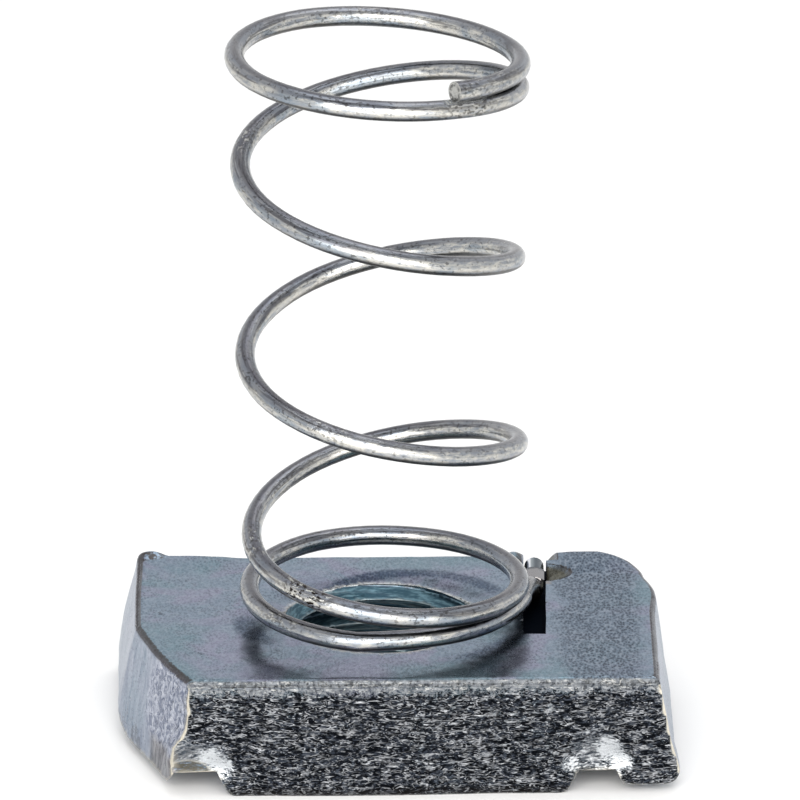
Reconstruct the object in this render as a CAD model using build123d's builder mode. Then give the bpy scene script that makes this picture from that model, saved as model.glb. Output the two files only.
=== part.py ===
# Strut spring nut: a steel channel nut with a long spring that holds it in its channel.
# Millimetres. The origin is on the thread's axis, in the plane of the land between the
# two grooves. X is the nut's length, Y its width, and +Z points up to the spring.

import os
from math import cos, pi, sin, tan, radians

from build123d import *

# Nut body, a length cut from a rolled bar that runs along Y
nut_width = 20.8            # along Y, between the two sheared faces
nut_thickness = 7.35        # from the land to the top face
nut_length = 31.4           # along X, on the top face
left_end_draft = 1.5        # how much further the left end stands out at its foot
right_end_draft = 1.3       # and the right end
bar_middle = 0.95           # the middle of the bar lies this far beside the thread
foot_rise = 0.6             # the feet outside the grooves stand this far above the land
top_edge_round = 0.5
foot_edge_round = 0.8
land_edge_round = 0.8

# Grooves that sit on the two lips of the channel, and their teeth
groove_spacing = 24.0
groove_roof = 2.2
groove_depth = 1.45
groove_flank = 0.8
tooth_pitch = 1.3
tooth_depth = 0.45

# Corners cut away so that the nut can turn in the channel: run along X, reach along Y
front_corner_run = 3.3
front_corner_reach = 9.2
front_corner_bulge = 0.35
back_corner_run = 3.4
back_corner_reach = 7.4
back_corner_bulge = 0.9
corner_spread = 0.14        # how much larger each cut is at the foot, as a share of its size

# M12 thread, bored at its minor diameter
thread_diameter = 12.0
thread_depth = 0.95
mouth_inset = 0.15          # the chamfer's mouth is this far inside the thread's outer radius

# Spring, a left-handed coil of round wire with closed ends
wire_diameter = 1.2
coil_diameter = 16.35       # between wire centres, over the working turns
spring_height = 36.35       # from the nut's top face to the centre of the free end
spring_shift = 0.32         # the foot of the coil stands this far beside the thread
spring_lean = -0.008        # sideways, for each millimetre of height
full_turns = 5
closed_play = 0.06          # between the wires of a closed turn
top_closed_turns = 0.9
top_ramp_turns = 0.53
bottom_ramp_start = 3.5
bottom_ramp_turns = 0.83
top_flare = 0.39            # how much larger the radius is at the free end
top_flare_start = 0.7       # it stays so for this many turns
top_flare_turns = 1.5       # and is gone over as many turns as this
bottom_flare = 0.2          # how much larger it is at the end that is held
bottom_flare_turns = 0.6
top_tilt = 0.82             # rise of the tilted top turn at its high side
top_tilt_angle = 205
top_tilt_turns = 2.8
free_end_angle = 58         # the free end stands this far before the X axis
coil_foot_gap = 0.6         # under the last turn, above the nut's top face
steps_per_turn = 12

# Slot for the tail of the spring, and the metal that was punched over it
slot_play = 0.09            # half of what the slot is wider than the wire
slot_front = -3.0
slot_angle = 1.1            # degrees that the slot is turned from Y
slot_offset = 0.665         # its middle line crosses X this far outside the foot of the coil
tail_proud = 0.03           # top of the wire above the nut's top face
tail_seat_play = 0.03       # between the wire and the floor of the slot
tail_end_inset = 0.8        # end of the wire in from the nut's back face
tail_side = 0.04            # the tail lies this far towards the slot's left wall
tail_over = 0.9             # it leaves the coil over the slot here, along Y
tail_over_gap = 0.4         # with this gap under it
tail_over_inset = 0.42      # and this far from where it lies in the slot
tail_dip = 2.9              # it starts down into the slot here
tail_dip_gap = 0.06
tail_dip_inset = 0.08
tail_down = 4.7             # and lies on the floor from here
clip_middle = 6.1           # the punched clip, along Y
clip_length = 1.7
clip_from = -38             # degrees about the wire, from the slot's right wall
clip_to = 128
clip_thickness = 0.38
clip_play = 0.04
punch_middle = 7.05         # the punch mark beside it
punch_radius = 1.5
punch_run = 1.6
punch_depth = 1.0
lip_run = 0.7               # the wall of the slot that broke down at the back face
lip_length = 1.5

wire_radius = wire_diameter / 2
bore_radius = thread_diameter / 2 - thread_depth
back_face = nut_width / 2
top_half = nut_length / 2
slot_width = wire_diameter + 2 * slot_play
slot_turn = radians(slot_angle)
slot_middle = spring_shift + coil_diameter / 2 + bottom_flare + slot_offset
tail_height = nut_thickness + tail_proud - wire_radius
slot_floor = tail_height - wire_radius - tail_seat_play


def end_half(side, height):
    """Half the bar's length at a height, measured on one of its sloping ends."""
    draft = left_end_draft if side < 0 else right_end_draft
    return top_half + draft * (1 - height / nut_thickness)


def slot_line(y):
    """X of the slot's middle line."""
    return slot_middle + y * tan(slot_turn)


def ramp(turn, start, length):
    """Rises smoothly from 0 to 1 over a length of turns."""
    share = min(max((turn - start) / length, 0.0), 1.0)
    return share * share * (3 - 2 * share)


# Channel nut

with BuildPart() as channel_nut:
    # Rolled section: flat top, drafted ends, two grooves beside a land
    with BuildSketch(Plane((bar_middle, 0, 0), x_dir=(1, 0, 0), z_dir=(0, -1, 0))) as section:
        groove_middle = groove_spacing / 2
        roof_inner = groove_middle - groove_roof / 2
        roof_outer = groove_middle + groove_roof / 2
        outer_flank = groove_flank * (groove_depth - foot_rise) / groove_depth
        with BuildLine():
            for side in (-1, 1):
                Polyline(
                    (0, 0),
                    (side * (roof_inner - groove_flank), 0),
                    (side * roof_inner, groove_depth),
                    (side * roof_outer, groove_depth),
                    (side * (roof_outer + outer_flank), foot_rise),
                    (side * end_half(side, foot_rise), foot_rise),
                    (side * top_half, nut_thickness),
                    (0, nut_thickness),
                )
        make_face()
        foot_corners = section.vertices().group_by(Axis.X)
        fillet([foot_corners[0], foot_corners[-1]], foot_edge_round)
        land_corners = section.vertices().group_by(Axis.Y)[0].sort_by(Axis.X)
        fillet([land_corners[0], land_corners[-1]], land_edge_round)
    extrude(amount=nut_width / 2, both=True)

    # Two opposite corners cut to a slope that follows the drafted ends
    corners = (
        (-1, front_corner_run, front_corner_reach, front_corner_bulge),
        (1, back_corner_run, back_corner_reach, back_corner_bulge),
    )
    margin = 3.0
    for side, top_run, top_reach, bulge in corners:
        for height in (-margin, nut_thickness + margin):
            spread = 1 + corner_spread * (1 - height / nut_thickness)
            run = top_run * spread
            reach = top_reach * spread
            slope = (run**2 + reach**2) ** 0.5
            crown = (run / 2 - bulge * reach / slope, reach / 2 - bulge * run / slope)
            corner = (bar_middle + side * end_half(side, height), side * nut_width / 2, height)
            with BuildSketch(Plane(corner, x_dir=(-side, 0, 0), z_dir=(0, 0, 1))):
                with BuildLine():
                    ThreePointArc((run, 0), crown, (0, reach))
                    Polyline((0, reach), (-margin, reach), (-margin, -margin), (run, -margin), (run, 0))
                make_face()
        loft(mode=Mode.SUBTRACT)

    # Rounded top edges, left by the rolling and by the shear
    top_face = channel_nut.faces().sort_by(Axis.Z)[-1]
    fillet(top_face.outer_wire().edges(), top_edge_round)

    # Teeth across the roofs of the grooves, which bite on the channel's lips
    tooth_count = int(nut_width / tooth_pitch) - 1
    for side in (-1, 1):
        groove_start = bar_middle + side * groove_middle - groove_roof / 2
        with BuildSketch(Plane.YZ.offset(groove_start)):
            with GridLocations(tooth_pitch, 1, tooth_count, 1):
                Polygon(
                    (-tooth_pitch / 2, groove_depth),
                    (tooth_pitch / 2, groove_depth),
                    (0, groove_depth + tooth_depth),
                    align=None,
                )
        extrude(amount=groove_roof, mode=Mode.SUBTRACT)

    # Threaded bore with a chamfered mouth at each end
    Hole(bore_radius)
    bore_edges = channel_nut.edges().filter_by(GeomType.CIRCLE).sort_by(SortBy.RADIUS)
    mouth_edges = [edge for edge in bore_edges if abs(edge.radius - bore_radius) < 1e-6]
    chamfer(mouth_edges, thread_depth - mouth_inset)

    # Slot for the spring's tail, open at the back face
    slot_direction = (sin(slot_turn), cos(slot_turn), 0)
    slot_start = (slot_line(slot_front), slot_front, nut_thickness)
    slot_plane = Plane(slot_start, x_dir=slot_direction, z_dir=(0, 0, 1))
    with BuildSketch(slot_plane):
        Rectangle(nut_width, slot_width, align=(Align.MIN, Align.CENTER))
    extrude(amount=slot_floor - nut_thickness, mode=Mode.SUBTRACT)

    # Mark of the punch, a round groove that deepens towards the slot
    slot_wall = slot_line(punch_middle) + slot_width / 2
    mark_fall = Vector(-punch_run, 0, -punch_depth)
    mark_tip = Vector(slot_wall + punch_run, punch_middle, nut_thickness)
    mark_axis = mark_tip + Vector(-punch_depth, 0, punch_run).normalized() * punch_radius
    with BuildSketch(Plane(mark_axis, x_dir=(0, 1, 0), z_dir=mark_fall)):
        Circle(punch_radius)
    extrude(amount=mark_fall.length + slot_width / 2, mode=Mode.SUBTRACT)

    # Wall of the slot that broke down beside the mark, at the back face
    broken_wall = slot_line(back_face) + slot_width / 2
    with BuildSketch(Plane((broken_wall, back_face, nut_thickness), x_dir=(1, 0, 0), z_dir=(0, -1, 0))):
        Polygon(
            (-slot_width / 2, -lip_run),
            (0, -lip_run),
            (2 * lip_run, lip_run),
            (-slot_width / 2, lip_run),
            align=None,
        )
    extrude(amount=lip_length, mode=Mode.SUBTRACT)

    # Clip of metal that the punch turned over the tail
    clip_inner = wire_radius + clip_play
    clip_outer = clip_inner + clip_thickness
    clip_start = clip_middle - clip_length / 2
    clip_origin = (slot_line(clip_start) - tail_side, clip_start, tail_height)
    clip_plane = Plane(clip_origin, x_dir=(-cos(slot_turn), sin(slot_turn), 0), z_dir=slot_direction)
    with BuildSketch(clip_plane):
        with BuildLine():
            inner = CenterArc((0, 0), clip_inner, clip_from, clip_to - clip_from)
            outer = CenterArc((0, 0), clip_outer, clip_from, clip_to - clip_from)
            Line(inner @ 0, outer @ 0)
            Line(inner @ 1, outer @ 1)
        make_face()
    extrude(amount=clip_length)


# Spring

# Turns, from the free end down to the tail. The path's corners stand outside the coil, so
# that the middles of its runs lie on it
coil_turns = full_turns + free_end_angle / 360
closed_pitch = wire_diameter + closed_play
working_turns = bottom_ramp_start + bottom_ramp_turns / 2 - top_closed_turns - top_ramp_turns / 2
coil_drop = spring_height - coil_foot_gap - wire_radius
extra_pitch = (coil_drop - closed_pitch * coil_turns) / working_turns
steps = round(coil_turns * steps_per_turn)
turn_step = coil_turns / steps
corner_share = 1 / cos(pi * turn_step)
height = spring_height
route = []
for step in range(steps + 1):
    turn = step * turn_step
    angle = 2 * pi * turn - radians(free_end_angle)
    radius = coil_diameter / 2
    radius += top_flare * (1 - ramp(turn, top_flare_start, top_flare_turns))
    radius += bottom_flare * ramp(turn, coil_turns - bottom_flare_turns, bottom_flare_turns)
    tilt = top_tilt * (1 - ramp(turn, 0, top_tilt_turns))
    middle = spring_shift + spring_lean * height
    route.append(
        (
            middle + radius * corner_share * cos(angle),
            radius * corner_share * sin(angle),
            nut_thickness + height + tilt * cos(angle - radians(top_tilt_angle)),
        )
    )
    next_middle = turn + turn_step / 2
    opened = ramp(next_middle, top_closed_turns, top_ramp_turns)
    closed = ramp(next_middle, bottom_ramp_start, bottom_ramp_turns)
    height -= (closed_pitch + extra_pitch * (opened - closed)) * turn_step

# Tail, that runs down into the slot and lies along it
tail_end = back_face - tail_end_inset
tail_points = (
    (tail_over, nut_thickness + tail_over_gap + wire_radius, tail_over_inset),
    (tail_dip, nut_thickness + tail_dip_gap + wire_radius, tail_dip_inset),
    (tail_down, tail_height, 0),
    (tail_end, tail_height, 0),
)
for along, height, inset in tail_points:
    route.append((slot_line(along) - tail_side - inset, along, height))

bends = []
for before, here, after in zip(route, route[1:], route[2:]):
    run_in = Vector(here) - Vector(before)
    run_out = Vector(after) - Vector(here)
    half_bend = radians(run_in.get_angle(run_out)) / 2
    bends.append(0.45 * min(run_in.length, run_out.length) / tan(half_bend))

with BuildPart() as spring:
    with BuildLine() as wire_path:
        FilletPolyline(*route, radius=bends)
    with BuildSketch(Plane(wire_path.line @ 0, z_dir=wire_path.line % 0)):
        Circle(wire_radius)
    sweep()

wire_length = wire_path.wires()[0].length
print("wire", round(wire_length, 2), "mm long, least bend", round(min(bends), 2), "mm")
print("volume", round(spring.part.volume, 2), "of", round(pi * wire_radius**2 * wire_length, 2))

channel_nut.part.label = "channel_nut"
spring.part.label = "spring"
os.makedirs("parts", exist_ok=True)
export_step(channel_nut.part, "parts/channel_nut.step")
export_step(spring.part, "parts/spring.step")
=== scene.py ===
# Strut spring nut: the looks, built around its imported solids. Metres, in the part's own frame.
from math import cos, pi, radians, sin, tan

import bpy
import numpy as np
from mathutils import Matrix, Vector, kdtree, noise


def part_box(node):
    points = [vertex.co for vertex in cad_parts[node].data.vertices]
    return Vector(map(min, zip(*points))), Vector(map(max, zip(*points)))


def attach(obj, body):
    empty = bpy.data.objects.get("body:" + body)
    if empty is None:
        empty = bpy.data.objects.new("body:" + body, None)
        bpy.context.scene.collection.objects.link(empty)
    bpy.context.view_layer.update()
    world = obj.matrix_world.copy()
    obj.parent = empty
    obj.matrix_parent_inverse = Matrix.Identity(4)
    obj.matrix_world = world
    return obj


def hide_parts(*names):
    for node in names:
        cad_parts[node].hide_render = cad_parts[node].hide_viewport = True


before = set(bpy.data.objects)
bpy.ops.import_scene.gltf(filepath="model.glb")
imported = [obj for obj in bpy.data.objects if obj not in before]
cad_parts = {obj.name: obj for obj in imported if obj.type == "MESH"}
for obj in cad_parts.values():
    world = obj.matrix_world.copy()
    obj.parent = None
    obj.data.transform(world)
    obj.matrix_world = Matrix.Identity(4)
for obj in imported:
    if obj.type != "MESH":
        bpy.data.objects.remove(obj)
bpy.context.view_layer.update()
mm = 0.001  # shapes and patterns below are written in millimetres
print("frame loaded")


class Value:
    # A socket in an expression: each operator adds its Math node
    def __init__(self, finish, socket):
        self.finish = finish
        self.socket = socket

    def calc(self, operation, first, second=0.0):
        inputs = {0: first, 1: second}
        return self.finish.add("ShaderNodeMath", {"operation": operation}, inputs)

    def __add__(self, other):
        return self.calc("ADD", self, other)

    def __radd__(self, other):
        return self.calc("ADD", other, self)

    def __sub__(self, other):
        return self.calc("SUBTRACT", self, other)

    def __rsub__(self, other):
        return self.calc("SUBTRACT", other, self)

    def __mul__(self, other):
        return self.calc("MULTIPLY", self, other)

    def __rmul__(self, other):
        return self.calc("MULTIPLY", other, self)

    def __truediv__(self, other):
        return self.calc("DIVIDE", self, other)

    def __pow__(self, other):
        return self.calc("POWER", self, other)

    def __abs__(self):
        return self.calc("ABSOLUTE", self)

    def least(self, other):
        return self.calc("MINIMUM", self, other)

    def most(self, other):
        return self.calc("MAXIMUM", self, other)

    def angleFrom(self, other):
        return self.calc("ARCTAN2", self, other)


class Finish:
    # A material and the nodes that make it
    def __init__(self, name):
        self.material = bpy.data.materials.new(name)
        self.material.use_nodes = True
        self.tree = self.material.node_tree
        self.tree.nodes.clear()

    def add(self, kind, settings=None, inputs=None, output=0):
        # One node: its settings first, then the values or links of its sockets
        node = self.tree.nodes.new(kind)
        for key, value in (settings or {}).items():
            setattr(node, key, value)
        for key, value in (inputs or {}).items():
            if isinstance(value, Value):
                self.tree.links.new(value.socket, node.inputs[key])
            else:
                node.inputs[key].default_value = value
        return Value(self, node.outputs[output]) if len(node.outputs) else node

    def parts(self, place):
        # X, Y and Z of a vector
        node = self.add("ShaderNodeSeparateXYZ", inputs={0: place}).socket.node
        return [Value(self, socket) for socket in node.outputs]

    def attribute(self, name, output="Fac"):
        return self.add("ShaderNodeAttribute", {"attribute_name": name}, output=output)

    def stretch(self, place, scale):
        inputs = {0: place, 1: scale}
        return self.add("ShaderNodeVectorMath", {"operation": "MULTIPLY"}, inputs)

    def noise(self, place, scale, detail=2.0, rough=0.5, distort=0.0):
        inputs = {"Vector": place, "Scale": scale, "Detail": detail}
        inputs.update({"Roughness": rough, "Distortion": distort})
        return self.add("ShaderNodeTexNoise", inputs=inputs)

    def between(self, value, low, high):
        # 0 below low, 1 above high, smooth between them
        inputs = {"Value": value, "From Min": low, "From Max": high}
        return self.add("ShaderNodeMapRange", {"interpolation_type": "SMOOTHSTEP"}, inputs)

    def below(self, value, low, high):
        # The other way round: 1 below low, 0 above high
        return 1 - self.between(value, low, high)

    def distance(self, first, second):
        return (first * first + second * second) ** 0.5

    def tint(self, share, first, second):
        # The first colour, and a share of the second over it
        inputs = {0: share, 6: first, 7: second}
        return self.add("ShaderNodeMix", {"data_type": "RGBA"}, inputs, output=2)

    def bump(self, height, depth):
        inputs = {"Height": height, "Distance": depth * mm, "Strength": 1.0}
        return self.add("ShaderNodeBump", inputs=inputs)

    def finishWith(self, inputs):
        shader = self.add("ShaderNodeBsdfPrincipled", inputs=inputs)
        self.add("ShaderNodeOutputMaterial", inputs={"Surface": shader})
        return self.material


def tone(red, green, blue):
    # A colour as a paint chart gives it, 0 to 255, made linear
    linear = [((c / 255 + 0.055) / 1.055) ** 2.4 for c in (red, green, blue)]
    return (*linear, 1.0)


def tones(chart):
    return {name: tone(*shade) for name, shade in chart.items()}


def workOn(piece):
    bpy.ops.object.select_all(action="DESELECT")
    piece.select_set(True)
    bpy.context.view_layer.objects.active = piece


def useModifier(piece, kind, settings):
    workOn(piece)
    modifier = piece.modifiers.new(kind.lower(), kind)
    for key, value in settings.items():
        setattr(modifier, key, value)
    bpy.ops.object.modifier_apply(modifier=modifier.name)


def readPoints(mesh):
    points = np.empty(len(mesh.vertices) * 3)
    mesh.vertices.foreach_get("co", points)
    return points.reshape(-1, 3) / mm


def writePoints(mesh, points):
    mesh.vertices.foreach_set("co", (points * mm).ravel())
    mesh.update()


def writeMask(mesh, name, values):
    attribute = mesh.attributes.new(name, "FLOAT", "POINT")
    attribute.data.foreach_set("value", np.clip(values, 0, 1).astype(np.float32))


def smooth(values, low, high):
    share = np.clip((values - low) / (high - low), 0, 1)
    return share * share * (3 - 2 * share)


# Channel nut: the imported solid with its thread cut, then divided finely enough to be worked
nutShape = {
    "top": 7.35,  # height of the top face
    "halfWidth": 10.4,  # to each sheared face
    "slotAtY0": 9.36,  # X of the slot's middle where Y is 0
    "slotAngle": 1.1,  # degrees
    "slotHalfWidth": 0.75,
    "coilX": 0.32,  # where the coil stands
    "threadPitch": 1.75,
    "threadMajor": 6.0,  # radii
    "threadMinor": 5.05,
    "threadOverlap": 0.12,  # how far the cutter reaches into the bore
    "threadTurns": 7,
    "threadSteps": 72,
    "threadStart": 200,  # degrees
    "gridX": 0.24,
    "gridY": 0.26,
    "gridZ": 0.2,
}


def cutThread(nut):
    pitch = nutShape["threadPitch"]
    bpy.ops.object.select_all(action="DESELECT")
    bpy.ops.mesh.primitive_plane_add(size=1, location=(0, 0, 0))
    cutter = bpy.context.active_object
    overlap = nutShape["threadOverlap"]
    inner = nutShape["threadMinor"] - overlap
    outer = nutShape["threadMajor"]
    halfFoot = pitch * 3 / 8 + overlap * tan(radians(30))
    halfTip = pitch / 16
    profile = ((inner, -halfFoot), (outer, -halfTip), (inner, halfFoot), (outer, halfTip))
    turn = radians(nutShape["threadStart"])
    drop = -pitch * 1.5  # starts below the nut, to run out of both its faces
    corners = [(r * cos(turn), r * sin(turn), z + drop) for r, z in profile]
    writePoints(cutter.data, np.array(corners))
    useModifier(cutter, "SCREW", {
        "angle": 2 * pi * nutShape["threadTurns"],
        "screw_offset": pitch * mm * nutShape["threadTurns"],
        "steps": nutShape["threadSteps"] * nutShape["threadTurns"],
        "render_steps": nutShape["threadSteps"] * nutShape["threadTurns"],
    })
    bpy.ops.object.mode_set(mode="EDIT")
    bpy.ops.mesh.select_mode(type="VERT")
    bpy.ops.mesh.select_all(action="SELECT")
    bpy.ops.mesh.remove_doubles(threshold=1e-7)
    bpy.ops.mesh.select_all(action="DESELECT")
    bpy.ops.mesh.select_non_manifold()
    bpy.ops.mesh.fill()
    bpy.ops.mesh.select_all(action="SELECT")
    bpy.ops.mesh.normals_make_consistent(inside=False)
    bpy.ops.object.mode_set(mode="OBJECT")
    useModifier(nut, "BOOLEAN", {"object": cutter, "operation": "DIFFERENCE", "solver": "EXACT"})
    bpy.data.objects.remove(cutter)


def gridCuts(nut):
    # Even cuts along each axis, so that the worked surfaces have enough points
    workOn(nut)
    bpy.ops.object.mode_set(mode="EDIT")
    low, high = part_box("channel_nut")
    for axis, step in enumerate((nutShape["gridX"], nutShape["gridY"], nutShape["gridZ"])):
        normal = [float(axis == i) for i in range(3)]
        places = np.arange(low[axis] / mm + step / 2, high[axis] / mm, step)
        for place in places:
            bpy.ops.mesh.select_all(action="SELECT")
            cut = [n * place * mm for n in normal]
            bpy.ops.mesh.bisect(plane_co=cut, plane_no=normal, threshold=1e-7)
    bpy.ops.mesh.select_all(action="SELECT")
    bpy.ops.mesh.dissolve_degenerate(threshold=2e-6)
    bpy.ops.object.mode_set(mode="OBJECT")


nut = bpy.data.objects.new("nut_body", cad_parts["channel_nut"].data.copy())
bpy.context.scene.collection.objects.link(nut)
workOn(nut)
bpy.ops.object.mode_set(mode="EDIT")
bpy.ops.mesh.select_all(action="SELECT")
bpy.ops.mesh.remove_doubles(threshold=1e-7)
bpy.ops.mesh.dissolve_limited(angle_limit=radians(0.5))
bpy.ops.object.mode_set(mode="OBJECT")
print("nut copied,", len(nut.data.polygons), "faces")
cutThread(nut)
print("thread cut,", len(nut.data.polygons), "faces")
gridCuts(nut)
print("nut divided,", len(nut.data.polygons), "faces")

# Marks left by rolling, shearing and punching: middle, radii, and how far the metal moved
nutMarks = {
    "left groove mouth": ((-10.9, -10.4, 1.9), (2.0, 1.0, 1.5), (0, 0.3, 0)),
    "left groove shoulder": ((-9.7, -10.4, 1.6), (1.0, 0.8, 1.0), (0, 0.22, 0)),
    "right groove mouth": ((12.9, -10.4, 2.2), (2.1, 1.0, 1.8), (0, 0.34, 0)),
    "right groove shoulder": ((14.2, -10.4, 2.1), (1.1, 0.8, 1.1), (0, 0.22, 0)),
    "back left groove mouth": ((-11.0, 10.4, 1.8), (2.0, 1.0, 1.6), (0, -0.3, 0)),
    "back right groove mouth": ((12.9, 10.4, 1.8), (2.0, 1.0, 1.6), (0, -0.3, 0)),
    "burr at the back left corner": ((-14.1, 10.25, 7.35), (1.15, 1.0, 1.2), (0, 0, 0.36)),
    "bump beside the slot": ((8.25, 9.3, 7.4), (0.85, 1.5, 0.8), (0, 0, 0.42)),
    "raised back of the block": ((12.3, 10.2, 7.35), (3.6, 3.6, 1.5), (0, 0, 0.27)),
    "chip": ((14.1, -10.4, 6.3), (0.34, 0.5, 0.26), (0, 0.2, 0)),
    "left end": ((-15.6, 3.0, 5.0), (2.6, 9.0, 5.5), (-0.2, 0, 0)),
    "left end at the back": ((-15.8, 9.5, 3.8), (2.6, 7.0, 4.5), (-0.24, 0, 0)),
    "back left edge": ((-12.6, 10.4, 7.35), (4.4, 3.0, 1.5), (0, 0, 0.2)),
    "back right corner": ((14.7, 9.0, 5.5), (2.3, 3.4, 8.0), (0.8, 0.15, 0)),
    "right end past the corner": ((15.8, 4.6, 6.0), (2.0, 4.4, 6.0), (0.28, 0, 0)),
    "right foot": ((17.5, -9.5, 1.3), (1.5, 3.0, 2.2), (0.22, 0, 0)),
    "under the right foot": ((15.8, -10.4, 0.7), (2.2, 2.5, 1.0), (0, 0, -0.1)),
    "left foot tip": ((-12.7, -10.2, 0.6), (1.3, 1.8, 1.3), (0, 0.1, 0.2)),
    "left foot": ((-15.2, -6.4, 0.8), (2.5, 4.5, 2.2), (0.2, 0, 0.1)),
    "right groove roof": ((12.95, -10.4, 1.45), (1.5, 2.0, 0.7), (0, 0, -0.1)),
    "swollen foot of the front": ((-2.0, -10.4, 0.2), (9.5, 1.5, 2.6), (0, -0.2, 0)),
    "block's torn corner": ((9.55, 10.2, 6.9), (0.75, 1.3, 0.8), (0, 0, -0.4)),
}

# Where the sheared faces came out smooth: middle, radii, and how bright; the brightness,
# strongest in the gleams, is painted highlight on the smooth metal
nutSmears = {
    "left groove": ((-11.3, -10.4, 2.3), (1.8, 1.4, 1.7), 0.1),
    "left gleam": ((-9.75, -10.4, 1.8), (1.05, 1.4, 1.05), 1.0),
    "left gleam's top": ((-10.3, -10.4, 2.4), (0.95, 1.4, 0.95), 1.0),
    "right groove": ((12.9, -10.4, 2.3), (2.0, 1.4, 2.1), 0.3),
    "right gleam": ((14.25, -10.4, 2.0), (1.05, 1.4, 1.05), 1.0),
    "right gleam's top": ((13.65, -10.4, 2.8), (1.0, 1.4, 1.2), 1.0),
    "right flank": ((11.4, -10.4, 1.9), (0.7, 1.4, 0.8), 0.7),
    "back left groove": ((-11.0, 10.4, 2.0), (1.9, 1.4, 1.6), 0.6),
    "back right groove": ((12.9, 10.4, 2.0), (1.9, 1.4, 1.6), 0.6),
}

# The front left corner's edge, as it wanders sideways down the sheared face
cornerEdge = {
    "topX": -11.45,  # where it meets the top face
    "drift": 1.04,  # how much further left it is at the foot
    "heights": (0.4, 1.48, 2.13, 3.1, 3.57, 4.23, 5.07, 6.06, 7.35),
    "shifts": (-0.3, -0.38, -0.53, -0.48, -0.19, 0.07, 0.13, -0.04, 0.0),
}


def roughen(points, scale, stretch):
    # Even noise between -1 and 1 at each point
    places = points * np.array(stretch) * scale
    return np.array([noise.noise(Vector(place)) for place in places])


def spreadMask(mesh, mask, fade):
    # Each point takes a share of its highest neighbour
    ends = np.empty(len(mesh.edges) * 2, np.int64)
    mesh.edges.foreach_get("vertices", ends)
    ends = ends.reshape(-1, 2)
    spread = mask.copy()
    for side in (0, 1):
        np.maximum.at(spread, ends[:, side], mask[ends[:, 1 - side]] * fade)
    return spread


def edgeMask(mesh):
    # 1 on corners that stand out and bend 32 degrees or more, fading over the next points
    count = len(mesh.loops)
    loopEdges = np.empty(count, np.int64)
    mesh.loops.foreach_get("edge_index", loopEdges)
    faceSizes = np.empty(len(mesh.polygons), np.int64)
    mesh.polygons.foreach_get("loop_total", faceSizes)
    loopFaces = np.repeat(np.arange(len(faceSizes)), faceSizes)
    normals = np.empty(len(faceSizes) * 3)
    mesh.polygons.foreach_get("normal", normals)
    centres = np.empty(len(faceSizes) * 3)
    mesh.polygons.foreach_get("center", centres)
    normals, centres = normals.reshape(-1, 3), centres.reshape(-1, 3)
    order = np.argsort(loopEdges, kind="stable")
    edges, faces = loopEdges[order], loopFaces[order]
    pairs = np.flatnonzero(edges[1:] == edges[:-1])
    one, two = faces[pairs], faces[pairs + 1]
    bend = np.degrees(np.arccos(np.clip((normals[one] * normals[two]).sum(1), -1, 1)))
    outward = ((centres[two] - centres[one]) * normals[one]).sum(1) < 0
    sharp = smooth(bend, 9, 32) * outward
    ends = np.empty(len(mesh.edges) * 2, np.int64)
    mesh.edges.foreach_get("vertices", ends)
    ends = ends.reshape(-1, 2)
    mask = np.zeros(len(mesh.vertices))
    for side in (0, 1):
        np.maximum.at(mask, ends[edges[pairs], side], sharp)
    return spreadMask(mesh, mask, 0.45)


# How deeply the surfaces are worked
nutWork = {
    "waves": ((0.45, 0.035), (1.4, 0.015)),  # on all of it: scale and depth of each
    "tear": 0.05,  # of the sheared faces
    "roll": (6.25, 0.16),  # height at which a sheared face bends to the top, and how far
    "dish": (7.9, 0.22),  # radius and depth of the drawn far side of the hole's mouth
    "dimples": (0.05, 0.16),  # lift between the dimples, and their depth
    "cornerReach": 1.1,  # how far from the front left corner's edge its metal moves
    "sharpAngle": 35,  # edges that bend more than this stay sharp
}


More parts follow.
